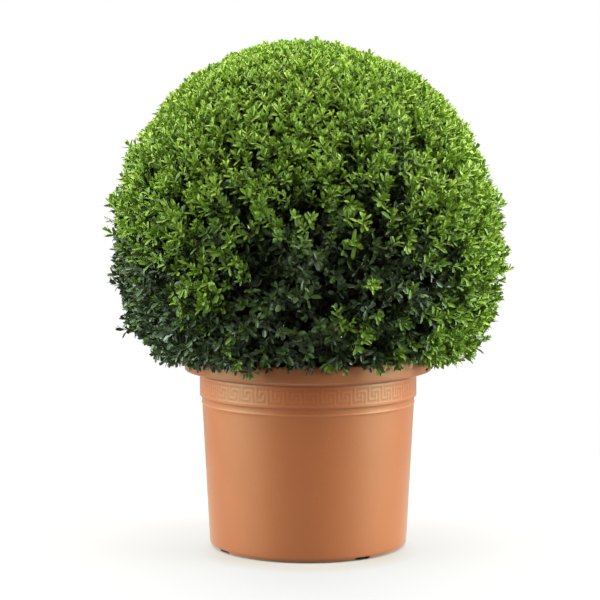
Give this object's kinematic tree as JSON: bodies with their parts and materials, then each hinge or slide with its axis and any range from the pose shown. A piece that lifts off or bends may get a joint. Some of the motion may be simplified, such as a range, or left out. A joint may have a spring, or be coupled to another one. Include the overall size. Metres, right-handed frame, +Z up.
{
  "type": "potted box topiary ball",
  "caption": "Evergreen box shrub clipped to a dense ball on a short stem, growing in a round terracotta-coloured plastic pot with a lip and a key-pattern band.",
  "frame": {"origin": "middle of the pot's flat underside, on the ground", "axes": "+Z up along the pot's axis; the view in the picture looks along +Y, with +X to the right"},
  "size_m": [0.6045, 0.5975, 0.7693],
  "materials": {
    "pot_plastic": "satin",
    "compost": "matte",
    "bark": "matte",
    "foliage": "satin"
  },
  "bodies": {
    "root": {"pot": "pot_plastic", "root_ball": "compost", "stem": "bark", "foliage_ball": "foliage"}
  },
  "joints": []
}
